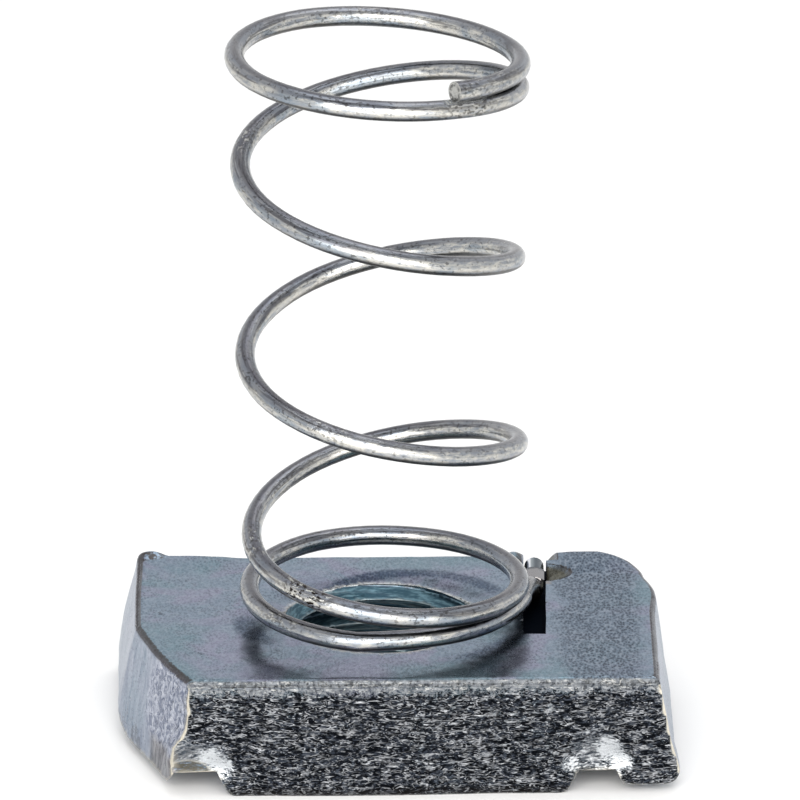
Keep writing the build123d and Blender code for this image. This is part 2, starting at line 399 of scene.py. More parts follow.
def workNut(nut):
    mesh = nut.data
    points = readPoints(mesh)
    normals = np.empty(len(points) * 3)
    mesh.vertices.foreach_get("normal", normals)
    normals = normals.reshape(-1, 3)
    x, y, z = points.T
    top, face, slotSide = (nutShape[name] for name in ("top", "halfWidth", "slotHalfWidth"))
    radius = np.hypot(x, y)

    # Which surface each point is on
    inBore = smooth(radius, 6.06, 5.96) * (z < top - 0.01)
    sheared = smooth(np.abs(normals[:, 1]), 0.5, 0.85) * smooth(np.abs(y), face - 0.5, face - 0.1)
    slotMiddle = nutShape["slotAtY0"] + y * tan(radians(nutShape["slotAngle"]))
    fromSlot = x - slotMiddle
    low = smooth(z, 7.3, 7.1) * (z > 5.0) * (y > -3.2) * (radius > 6.5) * (x < 13)
    inSlot = low * (np.abs(fromSlot) < slotSide) * (y < face - 0.05)
    punched = low * (fromSlot >= slotSide) * (y > 5) * (y < face - 0.05)
    clipped = (np.abs(fromSlot) < 0.9) * (y > 5.1) * (y < 7.1) * (z > 6.9) * (radius > 6.5)

    # Marks and smears
    moved = points.copy()
    for middle, radii, shift in nutMarks.values():
        reach = (((points - middle) / radii) ** 2).sum(1)
        share = np.clip(1 - reach, 0, 1) ** 1.5
        moved += share[:, None] * np.array(shift)
    smear, gleam = np.zeros(len(points)), np.zeros(len(points))
    for middle, radii, bright in nutSmears.values():
        share = np.clip(1 - (((points - middle) / radii) ** 2).sum(1), 0, 1)
        smear = np.maximum(smear, share)
        gleam = np.maximum(gleam, share * bright)

    # The front left corner's edge wanders
    cornerShift = np.interp(z, cornerEdge["heights"], cornerEdge["shifts"])
    cornerX = cornerEdge["topX"] - cornerEdge["drift"] * (1 - z / top)
    nearCorner = np.exp(-((x - cornerX) / nutWork["cornerReach"]) ** 2)
    moved[:, 0] += cornerShift * nearCorner * smooth(-y, 8.2, 9.9)

    # Wavy skin, torn sheared faces
    tearStretch = (1.3, 1.0, 3.6)
    tear = roughen(points, 1.0, tearStretch) + 0.6 * roughen(points, 2.3, tearStretch)
    tearDepth = nutWork["tear"] * sheared * (1 - smooth(smear, 0, 0.55))
    tearDepth *= smooth(6.9 - z, 0, 0.5)
    wave = sum(depth * roughen(points, scale, (1, 1, 1)) for scale, depth in nutWork["waves"])
    outside = (1 - inBore) * (1 - inSlot) * (1 - clipped)
    moved += normals * (wave * outside)[:, None]
    moved[:, 1] -= np.sign(y) * np.abs(tear) * tearDepth

    # The shear draws the top of the sheared face down in a soft roll
    rollStart, rollDepth = nutWork["roll"]
    roll = np.clip((z - rollStart) / (top - rollStart), 0, 1) ** 2
    roll *= smooth(np.abs(y), face - 0.6, face)
    moved[:, 1] -= np.sign(y) * roll * rollDepth

    # The far side of the hole's mouth is drawn down a little
    dishRadius, dishDepth = nutWork["dish"]
    dish = smooth(radius, dishRadius, 6.05) * smooth(y, 0.5, 4.5) * smooth(z, 6.2, 7.3)
    moved[:, 2] -= dish * dishDepth

    # Dimples on the front left corner cut
    lens = np.clip(1.25 - ((y + 8.2) / 3.2) ** 2 - ((z - 4.8) / 3.4) ** 2, 0, 1)
    lens *= smooth(-normals[:, 0], 0.4, 0.8) * (x < -9)
    dimples = np.abs(roughen(points, 1.5, (1, 1, 1)))
    dimples += 0.5 * np.abs(roughen(points, 3.0, (1, 1, 1)))
    lift, depth = nutWork["dimples"]
    moved += normals * (lens * (lift - depth * dimples))[:, None]
    moved[:, 2] = np.maximum(moved[:, 2], 0)

    # Corners: all of them, the upright ones, and the rounded top edge's upper side
    edges = edgeMask(mesh)
    upright = edges * (np.abs(y) > 9.6) * (z > 1.2) * (z < 6.95) * ((x < -10) | (x > 14.8))
    turned = (normals[:, 2] < 0.93) * (normals[:, 2] > 0.1) * (z > 7.0)
    turned = turned * (np.abs(y) < 9.9) * ((x > 12.5) | (x < -11))
    rimmed = spreadMask(mesh, turned.astype(float), 0.6)
    writePoints(mesh, moved)
    masks = {
        "sheared": sheared, "smeared": smear, "gleaming": gleam, "bored": inBore,
        "slotted": inSlot, "punched": punched, "clipped": clipped, "dimpled": lens,
        "edged": edges, "upright": upright, "rimmed": rimmed,
    }
    for name, mask in masks.items():
        writeMask(mesh, name, mask)


workNut(nut)
print("nut worked")
nut.data.materials.clear()

nutFinish = {
    "roughness": 0.24,
    "grazing": (0.84, 0.86, 0.9, 1.0),  # how bright it stays where seen flat along
    "bump": 0.03,
    "tones": {
        # plated skin, and the painted shadow of the coil
        "blueGrey": (124, 139, 154), "lavender": (136, 138, 158), "teal": (112, 138, 148),
        "paleGrain": (160, 170, 180), "block": (96, 109, 124), "coilShadow": (40, 60, 86),
        "pit": (30, 36, 50), "glint": (168, 178, 190),
        # rolled ends and the front left corner cut
        "endDark": (128, 136, 152), "endPale": (168, 173, 184), "endBlue": (136, 152, 162),
        "endPit": (70, 76, 92), "dentShade": (100, 106, 126), "dentPale": (182, 185, 197),
        "dentHighlight": (222, 224, 230), "footDark": (84, 80, 78), "footPale": (150, 147, 146),
        # sheared faces
        "shearShade": (10, 12, 16), "shearMiddle": (54, 59, 68), "shearHighlight": (204, 207, 212),
        "shearFoot": (34, 32, 31), "band": (102, 106, 112), "bandPale": (154, 158, 162),
        "bandDark": (84, 86, 86), "bandStroke": (206, 206, 202), "bandSpeck": (40, 42, 46),
        "smearDark": (66, 70, 76), "smearPale": (148, 151, 155), "smearHighlight": (214, 218, 222),
        "archHighlight": (176, 174, 166), "archShade": (92, 90, 82),
        # corners, bore, slot, punch mark and clip
        "rimShade": (62, 54, 48), "edge": (196, 191, 178), "bore": (60, 86, 99),
        "boreBright": (112, 144, 156), "lipHighlight": (226, 231, 233), "slot": (5, 13, 25),
        "punch": (80, 77, 66), "punchPale": (106, 104, 92), "clip": (146, 142, 140),
        "clipDark": (58, 60, 62),
    },
}
# Where the finish changes
nutPlaces = {
    "block": (10.2, 11.6, 15.0, 16.2),  # X: darkens over the first two, pales over the others
    "coilShadowRadius": 8.5,  # of the painted shadow under the coil
    "backCoilShadow": (1.7, 1.5, 5.85),  # X, Y and radius of the painted shadow arc behind the hole
    "foot": (-10.5, -6.4, 2.45),  # X, Y and height to which the left foot is brown
    "grooves": (-10.9, 12.9, 0.5),  # X of each, and the height round which metal was dragged
    "bandFoot": 6.75,  # height at which the smooth top band gives way to torn metal
    "archShade": ((-11.75, 1.4), (1.45, 0.82)),  # X and Z, and radii, of the painted shade in the left groove's hollow mouth
}


def makeNutZinc():
    look, paint = nutFinish, tones(nutFinish["tones"])
    f = Finish("zinc plated bar")
    place = f.stretch(f.add("ShaderNodeTexCoord", output=3), (1 / mm,) * 3)
    x, y, z = f.parts(place)
    nx, ny, nz = f.parts(f.add("ShaderNodeNewGeometry", output=1))
    sheared, smeared, gleaming = (f.attribute(n) for n in ("sheared", "smeared", "gleaming"))
    dimpled, bored, edged = (f.attribute(n) for n in ("dimpled", "bored", "edged"))
    upright, rimmed = (f.attribute(n) for n in ("upright", "rimmed"))
    slotted, punched, clipped = (f.attribute(n) for n in ("slotted", "punched", "clipped"))
    outer = (1 - bored) * (1 - slotted) * (1 - punched) * (1 - clipped)
    ring = f.distance(x - nutShape["coilX"], y)

    # Plated skin: cloudy blue, lavender and teal
    cloud = f.noise(place, 0.2, 4, 0.62, 0.8)
    haze = f.noise(place, 0.13, 3, 0.5)
    fine = f.noise(place, 3.2, 4, 0.7)
    grain = f.noise(f.stretch(place, (1.0, 0.5, 1.0)), 5.5, 2, 0.7)
    patch = f.noise(place, 0.4, 3, 0.6)
    skin = f.tint(f.between(cloud, 0.44, 0.6), paint["blueGrey"], paint["lavender"])
    skin = f.tint(f.between(haze, 0.5, 0.62) * 0.8, skin, paint["teal"])
    skin = f.tint(f.between(fine, 0.46, 0.7) * 0.35, skin, paint["paleGrain"])
    blockStart, blockFull, blockFade, blockEnd = nutPlaces["block"]
    onBlock = x + (f.noise(place, 0.5, 2, 0.5) - 0.5) * 3.0
    onBlock = f.between(onBlock, blockStart, blockFull) * f.below(x, blockFade, blockEnd)
    skin = f.tint(onBlock * 0.75, skin, paint["block"])

    # Painted shadow of the coil on the face under it, and a painted shadow arc behind the hole
    coilShadow = f.below(abs(ring - nutPlaces["coilShadowRadius"]), 0.2, 1.1)
    coilShadow = coilShadow * f.below(abs(y + 2.0 + 3.2 * f.between(x, -2.0, 2.0)), 0.4, 3.2)
    backX, backY, backRadius = nutPlaces["backCoilShadow"]
    behind = f.below(abs(f.distance(x - backX, y - backY) - backRadius), 0.15, 0.85)
    coilShadow = coilShadow.most(behind * f.between(y, 3.0, 4.8)) * f.between(nz, 0.9, 0.97)
    coilShadowed = coilShadow * (1.5 - 0.3 * f.between(x, -2.0, 2.0)) + (fine - 0.5) * coilShadow * 1.8
    coilShadow = coilShadowed.least(1.0)
    skin = f.tint(coilShadow * 0.78, skin, paint["coilShadow"])

    # Small dark pits and pale glints, longer along the rolling
    rolledPlace = f.stretch(place, (1.0, 0.55, 1.0))
    cells = f.add("ShaderNodeTexVoronoi", inputs={"Vector": rolledPlace, "Scale": 6.4})
    dots = f.below(cells, 0.26, 0.52)
    share = 0.2 + 0.2 * f.between(patch, 0.4, 0.6) + 0.42 * onBlock + 0.2 * coilShadow
    pits = dots.most(f.between(grain, 0.44, 0.74) * 0.8) * share
    deepPits = f.between(f.noise(place, 1.7, 2, 0.5), 0.68, 0.74) * f.between(patch, 0.4, 0.6)
    pits = pits.most(deepPits * 0.7).least(1.0)
    skin = f.tint(pits, skin, paint["pit"])
    glints = f.between(cells + (grain - 0.5) * 0.8, 0.6, 0.8) * (0.2 + 0.2 * onBlock)
    skin = f.tint(glints, skin, paint["glint"])

    # Rolled ends: paler, with faint upright streaks
    onEnd = f.between(abs(nx), 0.4, 0.75) * outer
    streak = f.noise(f.stretch(place, (1.0, 1.3, 0.22)), 1.6, 4, 0.65)
    endSkin = f.tint(f.between(streak, 0.34, 0.66), paint["endDark"], paint["endPale"])
    endSkin = f.tint(f.between(cloud, 0.44, 0.6) * 0.5, endSkin, paint["endBlue"])
    endSkin = f.tint(pits * 0.8, endSkin, paint["endPit"])
    skin = f.tint(onEnd * 0.92, skin, endSkin)

    # Front left corner cut: dimples, painted with shade in their hollows and highlights on their
    # crests, and a brown-grey foot
    dent = f.noise(f.stretch(place, (1.0, 1.0, 0.8)), 2.6, 3, 0.6, 1.2)
    dentSkin = f.tint(f.between(dent, 0.42, 0.54), paint["dentShade"], paint["dentPale"])
    dentSkin = f.tint(f.between(dent, 0.58, 0.66), dentSkin, paint["dentHighlight"])
    skin = f.tint(f.between(dimpled, 0.0, 0.5) * 0.65, skin, dentSkin)
    # The foot's brown-grey is a painted reflection of the surroundings below and in front
    footX, footY, footTop = nutPlaces["foot"]
    foot = f.below(z + (fine - 0.5) * 0.8, footTop - 0.45, footTop + 0.45) * onEnd
    foot = foot * f.below(y, footY - 0.6, footY + 0.6) * f.below(x, footX - 0.5, footX + 0.5)
    footSkin = f.tint(f.between(streak, 0.4, 0.6), paint["footDark"], paint["footPale"])
    skin = f.tint(foot * 0.85, skin, footSkin)

    # Sheared faces: torn metal, its near-black ground painted shade and its short bright strokes
    # painted highlights, darker towards the bottom
    long = f.noise(f.stretch(place, (1.25, 1.0, 7.0)), 1.0, 1, 0.5, 1.3)
    short = f.noise(f.stretch(place, (2.6, 1.3, 8.0)), 1.0, 1, 0.5, 1.5)
    hollow = f.noise(f.stretch(place, (1.8, 1.2, 3.8)), 1.4, 2, 0.6, 0.8)
    patches = f.noise(place, 0.9, 3, 0.6)
    curl = f.noise(f.stretch(place, (0.85, 0.8, 2.3)), 1.5, 1.5, 0.5, 1.2)
    fade = f.noise(f.stretch(place, (1.0, 1.0, 1.8)), 1.7, 2, 0.6)
    curls = f.below(abs(curl - 0.5), 0.015, 0.06)
    curls = curls * f.between(fade + (short - 0.5) * 0.3, 0.42, 0.62)
    strokes = f.between(long + (patches - 0.5) * 0.3, 0.6, 0.7).most(curls)
    flicks = f.between(short + (hollow - 0.5) * 0.3, 0.64, 0.74)
    torn = f.between(hollow + (short - 0.5) * 0.4, 0.44, 0.68)
    torn = f.tint(torn, paint["shearShade"], paint["shearMiddle"])
    torn = f.tint((strokes * 0.62).most(flicks), torn, paint["shearHighlight"])
    torn = f.tint(f.below(z, 0.05, 0.7) * 0.6, torn, paint["shearFoot"])

    # Smooth metal dragged round the grooves' mouths, with painted highlights where it gleams
    leftX, rightX, grooveZ = nutPlaces["grooves"]
    sideways = x - (f.between(x, -1.0, 1.0) * (rightX - leftX) + leftX)
    upward = z - grooveZ
    around, reach = upward.angleFrom(sideways), f.distance(sideways, upward)
    flow = {0: around * 3.2, 1: y * 0.5, 2: reach * 5.5}
    drawn = f.noise(f.add("ShaderNodeCombineXYZ", inputs=flow), 1.0, 4, 0.7, 0.5)
    wander = f.noise(f.stretch(place, (1, 1, 0.2)), 0.9, 3, 0.6)
    lowered = nutPlaces["bandFoot"] - z + (wander - 0.5) * 1.2 + (grain - 0.5) * 1.8
    onTorn = f.between(lowered, 0.0, 0.35)
    calm = smeared + (drawn - 0.5) * 1.5 + (long - 0.5) * 1.6 + (short - 0.5) * 1.4
    calm = f.between(calm, 0.25, 0.95)
    ridgeHighlight = f.between(upright + (fine - 0.5) * 0.25, 0.35, 0.8)
    bright = gleaming + (drawn - 0.5) * 1.4 + (short - 0.5) * 1.6 + (hollow - 0.5) * 0.8
    bright = f.between(bright, 0.2, 0.85)
    rough = sheared * onTorn * (1 - calm) * (1 - ridgeHighlight) * (1 - bright * 0.8)

    # The smooth band along the top of each sheared face, and the smears below it
    rolled = f.between(abs(y), 9.98, 10.16) * f.between(z, 6.7, 7.0) * outer
    band = sheared.most(rolled) * (1 - rough)
    bandSkin = f.tint(f.between(fine, 0.38, 0.6) * 0.6, paint["band"], paint["bandPale"])
    mottled = f.between(patches + (grain - 0.5) * 0.7, 0.48, 0.66) * 0.6
    bandSkin = f.tint(mottled, bandSkin, paint["bandDark"])
    bandStrokes = flicks.most(curls) * 0.6 * f.between(lowered, -1.4, -0.3)
    bandSkin = f.tint(bandStrokes, bandSkin, paint["bandStroke"])
    speckled = f.between(grain + (short - 0.5) * 0.5, 0.5, 0.66) * f.between(lowered, -0.9, 0.1)
    bandSkin = f.tint(speckled * 0.85, bandSkin, paint["bandSpeck"])
    smearSkin = f.tint(f.between(drawn, 0.35, 0.65), paint["smearDark"], paint["smearPale"])
    smearSkin = f.tint(bright, smearSkin, paint["smearHighlight"])
    bandSkin = f.tint(f.between(smeared, 0.02, 0.2) * onTorn, bandSkin, smearSkin)
    # Painted shade in the hollow of the left groove's mouth, with a painted highlight round its
    # rim
    (archX, archZ), (archWide, archHigh) = nutPlaces["archShade"]
    archSide, archUp = (x - archX) / archWide, (z - archZ) / archHigh
    archShade = 1 - archSide * archSide - archUp * archUp
    bandSkin = f.tint(f.between(archShade, -0.3, 0.0) * 0.6, bandSkin, paint["archHighlight"])
    bandSkin = f.tint(f.between(archShade, 0.0, 0.3), bandSkin, paint["archShade"])
    rough = rough * (1 - f.between(archShade, -0.35, -0.2) * f.below(y, -9.5, -9.0))
    skin = f.tint(band, skin, bandSkin)
    skin = f.tint(rough, skin, torn)

    # A painted shade line round the top's rounded edges, and corners made bright, partly wear and
    # partly painted highlight; the upright front corners get a painted highlight
    rimShade = f.between(nz, 0.5, 0.75) * f.below(nz, 0.93, 0.985) * f.between(z, 6.6, 6.9)
    rimShade = rimShade * outer * (1 - f.between(abs(y), 9.9, 10.05) * f.between(abs(ny), 0.12, 0.3))
    rimShade = rimShade * f.between(fine + (wander - 0.5), 0.3, 0.46)
    sideRim = f.between(rimmed + (fine - 0.5) * 0.4, 0.24, 0.5) * f.between(z, 7.0, 7.12)
    rimShade = rimShade.most(sideRim * outer * 0.9)
    skin = f.tint(rimShade * 0.9, skin, paint["rimShade"])
    onTop = f.between(z, 6.4, 6.9) * f.between(ring, 6.6, 7.0)
    wearAndSheen = edged * (1 - rough) * f.between(fine, 0.3, 0.5) * (1 - slotted) * (1 - onTop)
    skin = f.tint((wearAndSheen * 0.85).most(ridgeHighlight), skin, paint["edge"])

    # Bore, lighter on its thread crests as a painted highlight, and a painted highlight on the
    # lip at the far side of its mouth
    drag = f.noise(f.stretch(place, (0.5, 0.5, 5.0)), 2.0, 3, 0.6)
    boreSkin = f.tint(f.between(drag, 0.42, 0.68), paint["bore"], paint["boreBright"])
    skin = f.tint(bored * (1 - 0.35 * edged), skin, boreSkin)
    lipHighlight = edged * f.between(ring, 5.4, 5.7) * f.below(ring, 6.5, 6.8) * f.between(z, 6.8, 7.1)
    lipHighlight = lipHighlight * f.between(y, 0.5, 3.0) * f.between(fine, 0.4, 0.56)
    skin = f.tint(lipHighlight, skin, paint["lipHighlight"])

    # Slot, painted near-black for the shade down in it, then punch mark and clip
    slope = tan(radians(nutShape["slotAngle"]))
    inSlot = f.below(abs(x - (y * slope + nutShape["slotAtY0"])), 0.84, 0.9)
    inSlot = inSlot * f.between(7.3 - z, 0.02, 0.1) * f.between(z, 4.9, 5.0)
    inSlot = inSlot * f.between(y, -3.8, -3.6) * f.below(y, 10.1, 10.2)
    inSlot = slotted.most(inSlot * f.between(ring, 6.4, 6.5)) * (1 - clipped)
    skin = f.tint(inSlot, skin, paint["slot"])
    # The punch mark's dark khaki is painted reflection and painted shade in the pocket
    punchSkin = f.tint(f.between(fine, 0.4, 0.6), paint["punch"], paint["punchPale"])
    skin = f.tint(punched * 0.9, skin, punchSkin)
    clipSkin = f.tint(f.between(y + (fine - 0.5), 6.5, 7.0), paint["clip"], paint["clipDark"])
    skin = f.tint(clipped * 0.9, skin, clipSkin)

    tornHeight = strokes * 0.8 + flicks * 0.6 + hollow * 1.2
    skinHeight = patch * 0.8 + dimpled * dent * 2.6 + streak * onEnd * 0.8
    bandHeight = band * (1 - rough) * (grain * 1.4 + fine * 1.2)
    height = skinHeight * (1 - rough) + tornHeight * rough * 2.0 + bandHeight
    roughness = look["roughness"] + 0.12 * (fine - 0.5) + rough * 0.14 + pits * 0.1
    roughness = roughness + band * 0.34 * (1 - bright) + inSlot * 0.5 + bored * 0.14
    return f.finishWith({
        "Base Color": skin, "Metallic": 1.0, "Roughness": roughness,
        "Normal": f.bump(height, look["bump"]), "Specular Tint": look["grazing"],
    })


nut.data.materials.append(makeNutZinc())
workOn(nut)
bpy.ops.object.shade_smooth_by_angle(angle=radians(nutWork["sharpAngle"]))
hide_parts("channel_nut")
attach(nut, "root")
print("nut finished")

# Spring: one round wire, its line worked out turn by turn from the free end down to the tail
springShape = {
    "wireRadius": 0.6,
    "coilRadius": 8.175,
    "height": 36.35,  # from the nut's top face to the free end
    "lean": -0.008,  # sideways, for each millimetre of height
    "turns": 5 + 58 / 360,
    "stepsPerTurn": 60,
    "freeEndAngle": 58,  # degrees
    "closedPitch": 1.26,
    "footGap": 0.6,
    "topClosed": (0.9, 0.53),  # turn at which the pitch starts to open, and turns of ramp
    "bottomClosed": (3.5, 0.83),  # and at which it starts to close
    "topFlare": (0.39, 0.7, 1.5),  # how much wider, from which turn it fades, over how many
    "bottomFlare": (0.2, 0.6),  # how much wider, over how many last turns
    "topTilt": (0.82, 205, 2.8),  # height, direction in degrees, and turns over which it fades
    "tail": (  # Y, height over the nut's top, and how far left of the slot's middle
        (0.6, 1.0, 0.80), (2.2, 0.84, 0.60), (3.9, 0.42, 0.34),
        (5.2, -0.38, 0.10), (6.4, -0.57, 0.04), (9.6, -0.57, 0.04),
    ),
    "uneven": (  # turn, and how far the coil stands off its ideal line, sideways and up
        (0, 0, -0.02), (0.08, 0, 0.12), (0.25, 0, 0.09), (0.5, 0.02, 0.1), (0.625, 0.03, -0.02),
        (0.75, 0, -0.04), (1, -0.01, 0.18), (1.25, -0.01, 0.08), (1.5, -0.02, -0.13),
        (1.625, -0.03, -0.17), (1.75, -0.04, -0.15), (2, -0.04, 0.07), (2.25, -0.04, 0.08),
        (2.5, -0.05, -0.14), (2.625, -0.07, -0.31), (2.75, -0.06, -0.43), (2.875, -0.05, -0.46),
        (3, -0.03, -0.42), (3.125, 0, -0.3), (3.25, 0.04, -0.19), (3.375, 0.08, -0.15),
        (3.5, 0.1, -0.19), (3.625, 0.12, -0.26), (3.75, 0.11, -0.32), (3.875, 0.07, -0.34),
        (4, 0.03, -0.33), (4.125, 0, -0.28), (4.25, -0.04, -0.2), (4.375, -0.07, -0.07),
        (4.5, -0.08, 0.16), (4.625, -0.07, 0.2), (4.75, -0.04, 0.12), (5, 0, 0),
    ),
    "joinReach": 12,  # points each side of the coil's join with its tail that are eased
    "joinRounds": 40,
    "endSpread": 0.07,  # the cut end is a little fatter
    "sides": 28,
    "sharpAngle": 40,  # edges that bend more than this stay sharp
}


def coilPoints():
    shape = springShape
    turns = shape["turns"]
    closedTurns, closedRamp = shape["topClosed"]
    openedTurns, openedRamp = shape["bottomClosed"]
    working = openedTurns + openedRamp / 2 - closedTurns - closedRamp / 2
    drop = shape["height"] - shape["footGap"] - shape["wireRadius"]
    extra = (drop - shape["closedPitch"] * turns) / working
    steps = round(turns * shape["stepsPerTurn"])
    stepTurns = turns / steps
    height = shape["height"]
    uneven = np.array(shape["uneven"]).T
    points = []
    for step in range(steps + 1):
        turn = step * stepTurns
        angle = 2 * pi * turn - radians(shape["freeEndAngle"])
        flare, flareStart, flareTurns = shape["topFlare"]
        radius = shape["coilRadius"]
        radius += flare * (1 - smooth(turn, flareStart, flareStart + flareTurns))
        flare, flareTurns = shape["bottomFlare"]
        radius += flare * smooth(turn, turns - flareTurns, turns)
        tilt, tiltAngle, tiltTurns = shape["topTilt"]
        tilt *= 1 - smooth(turn, 0, tiltTurns)
        sideways, up = (np.interp(turn, *uneven[[0, i]]) for i in (1, 2))
        x = nutShape["coilX"] + shape["lean"] * height + radius * cos(angle) + sideways
        z = nutShape["top"] + height + tilt * cos(angle - radians(tiltAngle)) + up
        points.append((x, radius * sin(angle), z))
        middle = turn + stepTurns / 2
        opened = smooth(middle, closedTurns, closedTurns + closedRamp)
        closed = smooth(middle, openedTurns, openedTurns + openedRamp)
        height -= (shape["closedPitch"] + extra * (opened - closed)) * stepTurns
    return points


def tailPoints():
    slope = tan(radians(nutShape["slotAngle"]))
    return [
        (nutShape["slotAtY0"] + y * slope - left, y, nutShape["top"] + height)
        for y, height, left in springShape["tail"]
    ]


def splinePoints(points, perRun):
    # A Catmull-Rom line through the points
    points = [2 * points[0] - points[1], *points, 2 * points[-1] - points[-2]]
    line = []
    for a, b, c, d in zip(points, points[1:], points[2:], points[3:]):
        for step in range(perRun):
            t = step / perRun
            line.append(0.5 * (2 * b + (c - a) * t + (2 * a - 5 * b + 4 * c - d) * t**2
                               + (3 * b - a - 3 * c + d) * t**3))
    return [*line, points[-2]]


route = [np.array(p) for p in coilPoints()]
tail = splinePoints([route[-6], route[-1], *[np.array(p) for p in tailPoints()]], 8)
joint = len(route) - 6
route = np.array(route[:-5] + tail[1:])
around = springShape["joinReach"]
for _ in range(springShape["joinRounds"]):
    eased = (route[:-2] + 2 * route[1:-1] + route[2:]) / 4
    route[joint - around + 1:joint + around + 1] = eased[joint - around:joint + around]
route = list(route)
curve = bpy.data.curves.new("spring_wire", "CURVE")
curve.dimensions = "3D"
curve.bevel_depth = springShape["wireRadius"] * mm
curve.bevel_resolution = springShape["sides"] // 4 - 1
curve.use_fill_caps = True
curve.twist_mode = "Z_UP"
spline = curve.splines.new("POLY")
spline.points.add(len(route) - 1)
for index, (point, place) in enumerate(zip(spline.points, route)):
    point.co = (*(place * mm), 1)
    point.radius = 1 + springShape["endSpread"] * (1 - smooth(index, 0, 4))
spring = bpy.data.objects.new("spring_wire", curve)
bpy.context.scene.collection.objects.link(spring)
workOn(spring)
bpy.ops.object.convert(target="MESH")
spring = bpy.context.active_object
bpy.ops.object.mode_set(mode="EDIT")
bpy.ops.mesh.select_all(action="SELECT")
bpy.ops.mesh.remove_doubles(threshold=1e-7)
bpy.ops.mesh.normals_make_consistent(inside=False)
bpy.ops.object.mode_set(mode="OBJECT")
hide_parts("spring")
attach(spring, "root")
print("spring made,", len(spring.data.polygons), "faces")


# Scuffed places on the wire: turn, half length, strength
springScuffs = (
    (0.0, 3.6, 0.45), (0.06, 2.4, 0.3), (1.02, 2.6, 0.7), (3.81, 2.2, 1.0), (3.7, 1.6, 0.6),
    (2.85, 2.0, 0.5), (1.62, 2.2, 0.5), (4.78, 2.4, 0.5), (0.42, 3.0, 0.4), (2.2, 2.2, 0.4),
)


def layMasks(spring):
    # Each point's place along the wire and around it, for patterns that follow the wire
    line = [np.array(p) for p in route]
    runs = [np.linalg.norm(b - a) for a, b in zip(line, line[1:])]
    lengths = np.concatenate([[0], np.cumsum(runs)])
    tree = kdtree.KDTree(len(line))
    for index, place in enumerate(line):
        tree.insert(Vector(place), index)
    tree.balance()
    points = readPoints(spring.data)
    along = np.empty(len(points))
    across = np.empty((len(points), 2))
    for index, point in enumerate(points):
        nearest = tree.find(Vector(point))[1]
        ahead = line[min(nearest + 1, len(line) - 1)] - line[max(nearest - 1, 0)]
        ahead /= np.linalg.norm(ahead)
        side = np.cross(ahead, (0, 0, 1))
        side /= np.linalg.norm(side)
        offset = point - line[nearest]
        along[index] = lengths[nearest] + offset @ ahead
        across[index] = (offset @ side, offset @ np.cross(side, ahead))
    scuffs = np.zeros(len(points))
    for turn, reach, strength in springScuffs:
        middle = lengths[round(turn * springShape["stepsPerTurn"])]
        scuffs = np.maximum(scuffs, strength * smooth(np.abs(along - middle), reach, reach * 0.4))
    writeMask(spring.data, "scuffed", scuffs)
    attribute = spring.data.attributes.new("wirePlace", "FLOAT_VECTOR", "POINT")
    places = np.column_stack([along, across])
    attribute.data.foreach_set("vector", places.astype(np.float32).ravel())
    return float(lengths[-1])


wireEnd = layMasks(spring)

wireFinish = {
    "roughness": 0.22,
    "bump": 0.025,
    "tones": {
        "bright": (204, 202, 195), "grey": (144, 149, 156), "blue": (122, 137, 152),
        "over": (116, 119, 127), "line": (58, 58, 66), "crown": (70, 68, 76),
        "dark": (40, 38, 37), "fleck": (38, 33, 29), "scuff": (238, 238, 232),
        "cut": (188, 188, 184), "cutRing": (84, 84, 84), "tailPale": (150, 160, 166),
        "tailShade": (50, 66, 78), "tailHighlight": (235, 238, 244),
    },
    "cutRing": 0.44,  # radius of the dark ring on the cut end
    "tail": (4.2, 3.8),  # how far from its end the tail turns bluish: start, and fully so
}


